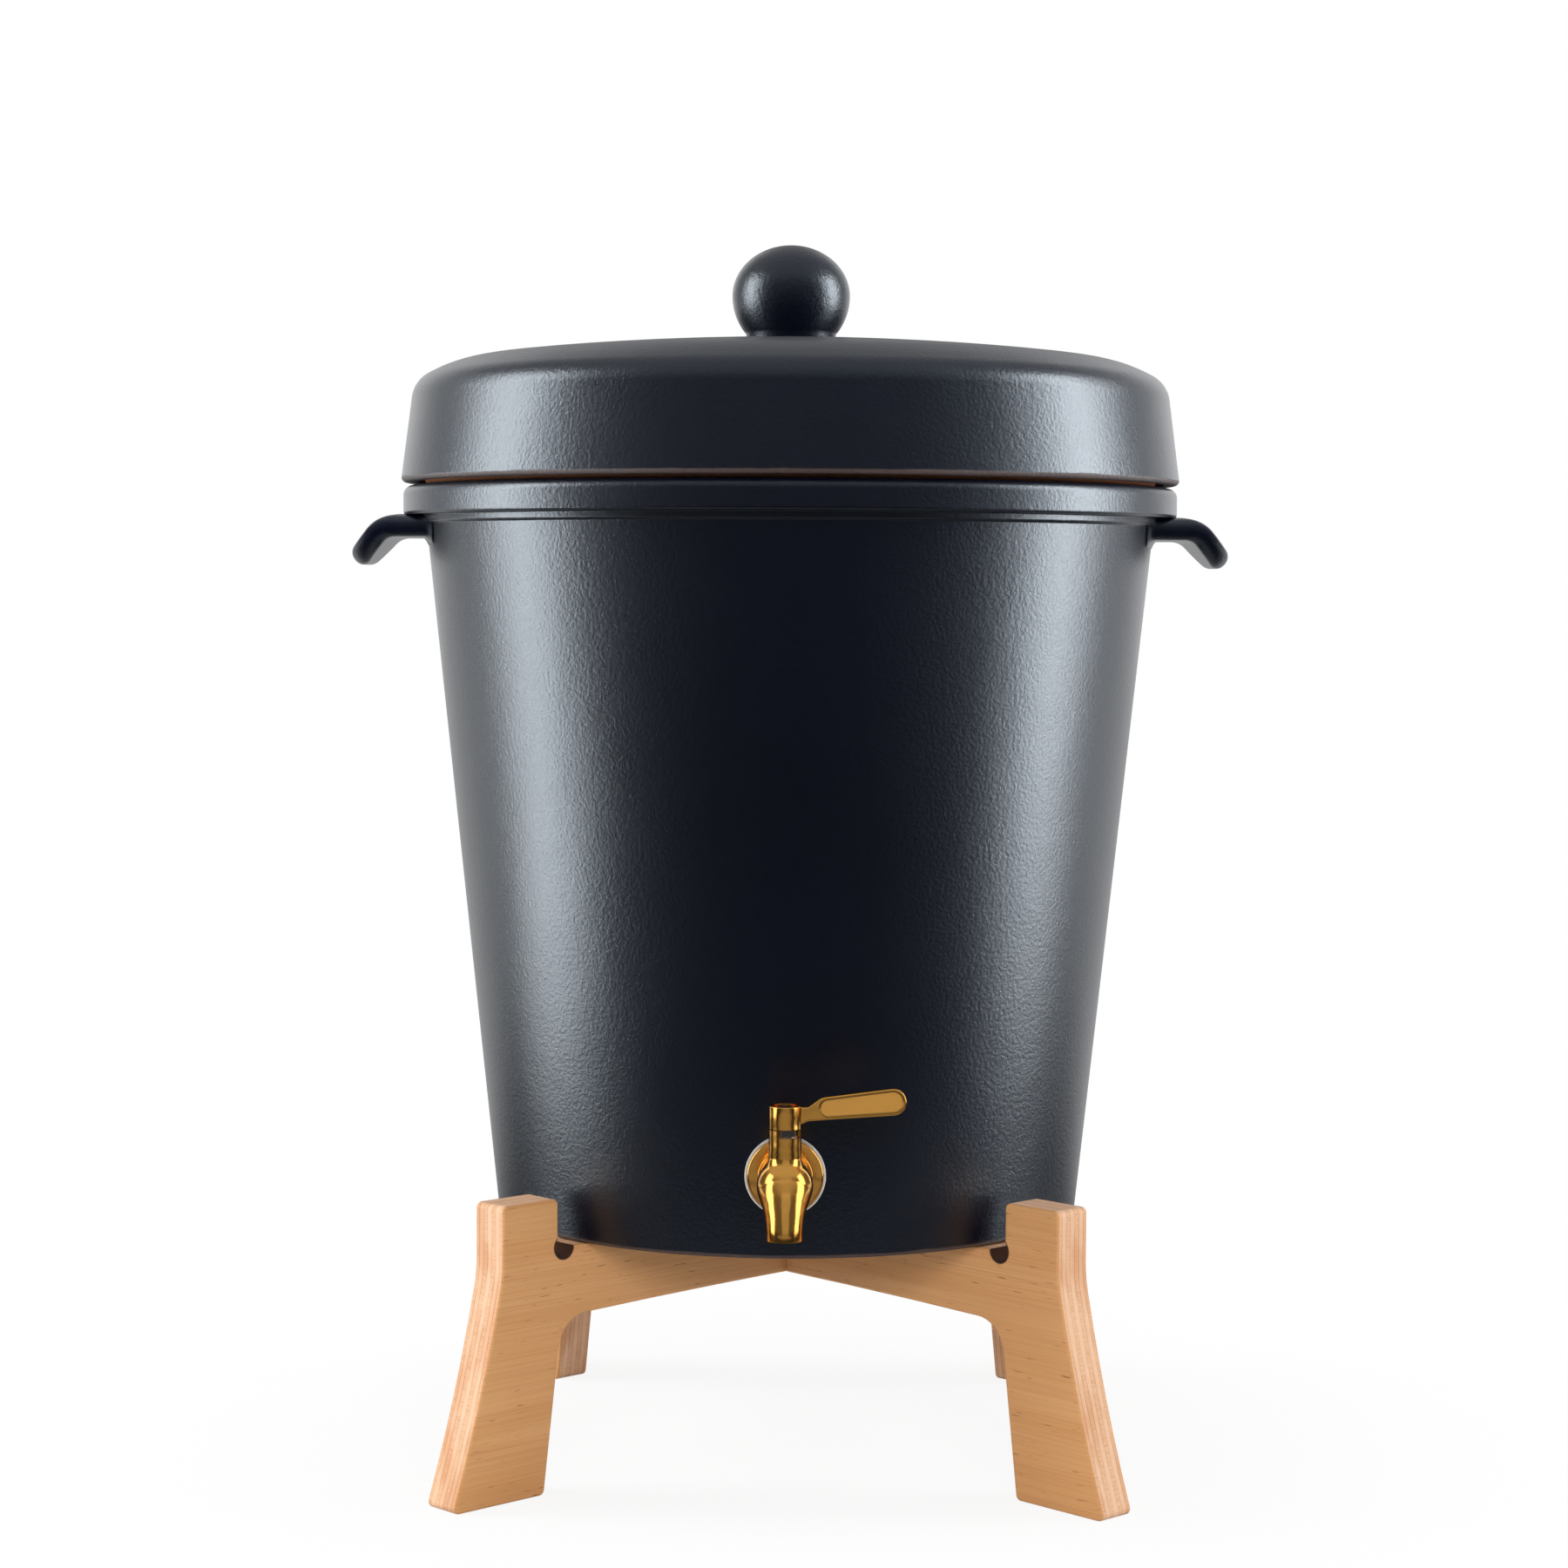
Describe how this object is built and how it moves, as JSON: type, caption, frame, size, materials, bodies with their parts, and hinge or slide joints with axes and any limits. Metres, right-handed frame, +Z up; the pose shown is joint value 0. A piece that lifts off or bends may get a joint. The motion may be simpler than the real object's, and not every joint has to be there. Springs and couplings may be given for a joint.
{
  "type": "clay water filter",
  "caption": "Glazed clay water filter with a lidded clay filter pot inside, lug handles, a small lever tap low at the front and a crossed plywood stand.",
  "frame": {"origin": "centre of the bounding box at floor level, on the crock's axis to within 3 mm", "axes": "+Z up, -Y towards the front with the tap, +X to the right seen from the front, one handle on each side along X"},
  "size_m": [0.3814, 0.3439, 0.5251],
  "materials": {
    "plywood": "clear satin plywood with the layers showing on the edges",
    "glaze": "satin blue-black glaze with a faint orange-peel",
    "terracotta": "porous unglazed clay",
    "gold": "polished gold plating",
    "steel": "turned stainless steel",
    "silicone": "translucent white silicone",
    "black_rubber": "black sealing ring",
    "bearing_plastic": "white slippery valve seat"
  },
  "bodies": {
    "stand": {"stand_board_lower": "plywood", "stand_board_upper": "plywood"},
    "crock": {"crock": "glaze", "crock_handle_right": "glaze", "crock_handle_left": "glaze", "tap_body": "gold", "tap_outer_gasket": "silicone", "tap_inner_gasket": "silicone", "tap_washer": "steel", "tap_nut": "steel", "valve_seat": "bearing_plastic", "stem_retaining_bush": "steel"},
    "filter": {"clay_filter_pot": "terracotta"},
    "lid": {"lid": "glaze", "lid_knob": "glaze"},
    "lever": {"tap_lever": "gold", "valve_stem": "steel", "stem_ring_lower": "black_rubber", "stem_ring_upper": "black_rubber", "lever_screw": "steel"}
  },
  "joints": [
    {"name": "crock_lift", "type": "slide", "parent": "stand", "child": "crock", "axis": [0, 0, 1], "range_m": [0, 0.06]},
    {"name": "filter_lift", "type": "slide", "parent": "crock", "child": "filter", "axis": [0, 0, 1], "range_m": [0, 0.26]},
    {"name": "lid_lift", "type": "slide", "parent": "filter", "child": "lid", "axis": [0, 0, 1], "range_m": [0, 0.1]},
    {"name": "lever_turn", "type": "hinge", "parent": "crock", "child": "lever", "pos_m": [0, -0.15714, 0.1616], "axis": [0, 0, -1], "range_deg": [0, 90]}
  ]
}
